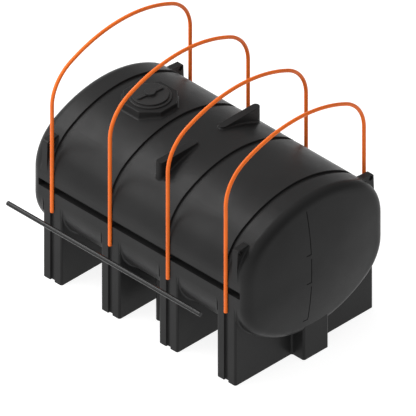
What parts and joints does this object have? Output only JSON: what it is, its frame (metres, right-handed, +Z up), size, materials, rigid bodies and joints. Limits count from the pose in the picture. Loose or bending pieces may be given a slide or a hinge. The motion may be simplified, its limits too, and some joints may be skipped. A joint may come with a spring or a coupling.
{
  "type": "horizontal leg tank",
  "caption": "Black moulded horizontal water tank on saddle legs, with lift-off steel hoops, side bars in channels, a screw lid on an octagonal manway, lifting lugs and a bottom outlet.",
  "frame": {"origin": "on the floor under the tank's centre, at the middle of the centre rib's foot", "axes": "+X along the tank towards the end with the level line and the plain sump, -Y the side whose bar is pulled out, +Z up"},
  "size_m": [2.0138, 1.5596, 1.7097],
  "materials": {
    "tank_black": "satin rotationally moulded polyethylene",
    "lid_black": "injection moulded, fine texture",
    "hoop_orange": "orange powder coat, semi-gloss",
    "bar_black": "black coated steel, semi-gloss",
    "gasket_rubber": "dull",
    "fitting_black": "injection moulded"
  },
  "bodies": {
    "tank": {"tank_shell": "tank_black", "leg_1": "tank_black", "leg_2": "tank_black", "leg_3": "tank_black", "leg_4": "tank_black", "centre_rib": "tank_black", "end_sump_front": "tank_black", "end_sump_rear": "tank_black", "lifting_lug_1": "tank_black", "lifting_lug_2": "tank_black", "lifting_lug_3": "tank_black", "lifting_lug_4": "tank_black", "top_fin_front": "tank_black", "top_fin_rear": "tank_black", "manway_boss": "tank_black", "lid_collar": "lid_black", "outlet_gasket": "gasket_rubber", "outlet_fitting": "fitting_black", "outlet_nut": "fitting_black"},
    "hoop_1": {"hoop_1": "hoop_orange"},
    "hoop_2": {"hoop_2": "hoop_orange"},
    "hoop_3": {"hoop_3": "hoop_orange"},
    "hoop_4": {"hoop_4": "hoop_orange"},
    "side_bar_front": {"side_bar_front": "bar_black"},
    "side_bar_rear": {"side_bar_rear": "bar_black"},
    "lid_gasket": {"lid_gasket": "gasket_rubber"},
    "lid": {"lid": "lid_black"},
    "vent_cap": {"vent_cap": "lid_black"}
  },
  "joints": [
    {"name": "hoop_1_lift", "type": "slide", "parent": "tank", "child": "hoop_1", "axis": [0, 0, 1], "range_m": [-0.498, 0.25]},
    {"name": "hoop_2_lift", "type": "slide", "parent": "tank", "child": "hoop_2", "axis": [0, 0, 1], "range_m": [-0.498, 0.25]},
    {"name": "hoop_3_lift", "type": "slide", "parent": "tank", "child": "hoop_3", "axis": [0, 0, 1], "range_m": [-0.498, 0.25]},
    {"name": "hoop_4_lift", "type": "slide", "parent": "tank", "child": "hoop_4", "axis": [0, 0, 1], "range_m": [-0.498, 0.25]},
    {"name": "side_bar_front_slide", "type": "slide", "parent": "tank", "child": "side_bar_front", "axis": [0, 1, 0], "range_m": [-0.1, 0.267]},
    {"name": "side_bar_rear_play", "type": "slide", "parent": "tank", "child": "side_bar_rear", "axis": [1, 0, 0], "range_m": [-0.02, 0.02]},
    {"name": "lid_lift", "type": "slide", "parent": "tank", "child": "lid_gasket", "axis": [0, 0, 1], "range_m": [0, 0.3]},
    {"name": "lid_turn", "type": "hinge", "parent": "lid_gasket", "child": "lid", "pos_m": [-0.513, 0, 1.248], "axis": [0, 0, 1], "range_deg": [0, 720]},
    {"name": "vent_cap_lift", "type": "slide", "parent": "lid", "child": "vent_cap", "axis": [0, 0, 1], "range_m": [0, 0.006]}
  ]
}
